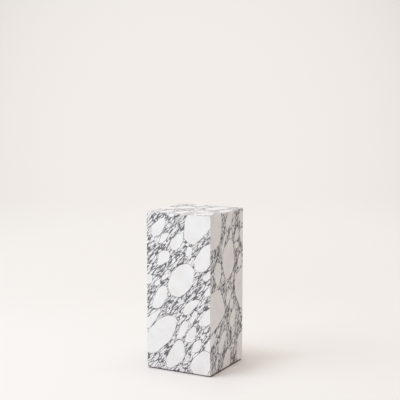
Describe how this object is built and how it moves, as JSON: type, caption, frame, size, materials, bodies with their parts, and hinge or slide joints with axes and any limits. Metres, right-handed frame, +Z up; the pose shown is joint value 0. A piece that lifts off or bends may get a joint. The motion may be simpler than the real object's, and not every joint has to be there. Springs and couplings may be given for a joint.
{
  "type": "plinth",
  "caption": "Square stone-clad display plinth: mitred marble slabs on a plywood carcass, raised on screw-adjusted levelling feet that leave a thin shadow gap.",
  "frame": {"origin": "on the floor, below the middle of the plinth, with the feet at their rest height", "axes": "+Z up, the front faces -Y, the right side faces +X"},
  "size_m": [0.34, 0.34, 0.755],
  "materials": {
    "stone": "honed breccia marble, pale pebbles in grey veins",
    "resin": "pale resin, sanded flush",
    "plywood": "raw plywood",
    "batten": "planed softwood",
    "adhesive": "cured adhesive",
    "screw": "yellow passivated",
    "zinc": "bright zinc plate",
    "nylon": "moulded nylon",
    "rubber": "fine-grained rubber"
  },
  "bodies": {
    "plinth_body": {"front_panel": "stone", "right_panel": "stone", "back_panel": "stone", "left_panel": "stone", "top_panel": "stone", "mitre_resin": "resin", "front_board": "plywood", "right_board": "plywood", "back_board": "plywood", "left_board": "plywood", "deck_board": "plywood", "base_board": "plywood", "mid_brace": "plywood", "batten_front_left": "batten", "batten_front_right": "batten", "batten_back_left": "batten", "batten_back_right": "batten", "adhesive_beads": "adhesive", "carcass_screws": "screw", "base_screws": "screw", "tee_nuts": "zinc"},
    "foot_front_left": {"pad_front_left": "nylon", "sole_front_left": "rubber"},
    "adjuster_front_left": {"stud_front_left": "zinc"},
    "foot_front_right": {"pad_front_right": "nylon", "sole_front_right": "rubber"},
    "adjuster_front_right": {"stud_front_right": "zinc"},
    "foot_back_left": {"pad_back_left": "nylon", "sole_back_left": "rubber"},
    "adjuster_back_left": {"stud_back_left": "zinc"},
    "foot_back_right": {"pad_back_right": "nylon", "sole_back_right": "rubber"},
    "adjuster_back_right": {"stud_back_right": "zinc"}
  },
  "joints": [
    {"name": "foot_front_left_travel", "type": "slide", "parent": "plinth_body", "child": "foot_front_left", "axis": [0, 0, -1], "range_m": [-0.006, 0.01]},
    {"name": "stud_front_left_turn", "type": "hinge", "parent": "foot_front_left", "child": "adjuster_front_left", "pos_m": [-0.116, -0.116, 0.014], "axis": [0, 0, -1], "range_deg": [-1727, 2879]},
    {"name": "foot_front_right_travel", "type": "slide", "parent": "plinth_body", "child": "foot_front_right", "axis": [0, 0, -1], "range_m": [-0.006, 0.01]},
    {"name": "stud_front_right_turn", "type": "hinge", "parent": "foot_front_right", "child": "adjuster_front_right", "pos_m": [0.116, -0.116, 0.014], "axis": [0, 0, -1], "range_deg": [-1727, 2879]},
    {"name": "foot_back_left_travel", "type": "slide", "parent": "plinth_body", "child": "foot_back_left", "axis": [0, 0, -1], "range_m": [-0.006, 0.01]},
    {"name": "stud_back_left_turn", "type": "hinge", "parent": "foot_back_left", "child": "adjuster_back_left", "pos_m": [-0.116, 0.116, 0.014], "axis": [0, 0, -1], "range_deg": [-1727, 2879]},
    {"name": "foot_back_right_travel", "type": "slide", "parent": "plinth_body", "child": "foot_back_right", "axis": [0, 0, -1], "range_m": [-0.006, 0.01]},
    {"name": "stud_back_right_turn", "type": "hinge", "parent": "foot_back_right", "child": "adjuster_back_right", "pos_m": [0.116, 0.116, 0.014], "axis": [0, 0, -1], "range_deg": [-1727, 2879]}
  ],
  "couplings": [
    {"joint": "foot_front_left_travel", "follows": "stud_front_left_turn", "m_per_rad": 0.00019894},
    {"joint": "foot_front_right_travel", "follows": "stud_front_right_turn", "m_per_rad": 0.00019894},
    {"joint": "foot_back_left_travel", "follows": "stud_back_left_turn", "m_per_rad": 0.00019894},
    {"joint": "foot_back_right_travel", "follows": "stud_back_right_turn", "m_per_rad": 0.00019894}
  ]
}
